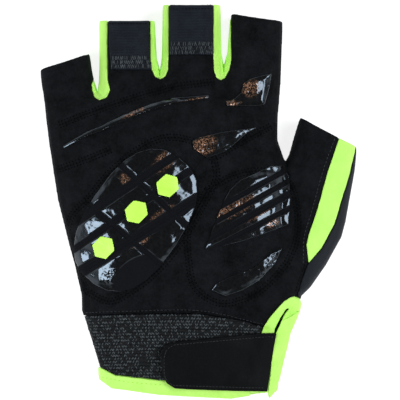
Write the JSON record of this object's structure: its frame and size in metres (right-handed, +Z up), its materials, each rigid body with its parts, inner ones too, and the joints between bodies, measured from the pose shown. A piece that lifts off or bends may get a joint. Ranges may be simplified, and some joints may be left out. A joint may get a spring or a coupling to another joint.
{
  "type": "cycling glove",
  "caption": "Half-finger cycling glove for the right hand with padded palm, neon finger strips, knit cuff and closure strap, lying palm up.",
  "frame": {"origin": "middle of the glove's bounding box in plan, on the surface that it lies on", "axes": "+Y from the wrist to the fingertips, +X towards the thumb, +Z up out of the palm"},
  "size_m": [0.1296, 0.1612, 0.0258],
  "materials": {
    "suede": "matte synthetic suede",
    "stretch": "matte stretch knit",
    "neon": "matte stretch binding",
    "tape": "woven tape",
    "knit": "coarse elastic knit",
    "strap": "smooth matte",
    "gel": "glossy film",
    "mark": "satin print"
  },
  "bodies": {
    "root": {"palm_panel": "suede", "back_panel": "stretch", "gusset_pinky_ring": "neon", "gusset_ring_middle": "neon", "gusset_middle_index": "neon", "thumb_stripe": "neon", "tab_ring": "tape", "tab_middle": "tape", "cuff_band": "knit", "hem_binding": "neon", "slit_binding": "neon", "closure_strap": "strap", "gel_heel": "gel", "gel_thumb": "gel", "gel_thumb_leaf": "gel", "gel_palm_leaf": "gel", "gel_hook": "gel", "gel_arc": "gel", "mark_low": "mark", "mark_mid": "mark", "mark_high": "mark"}
  },
  "joints": []
}
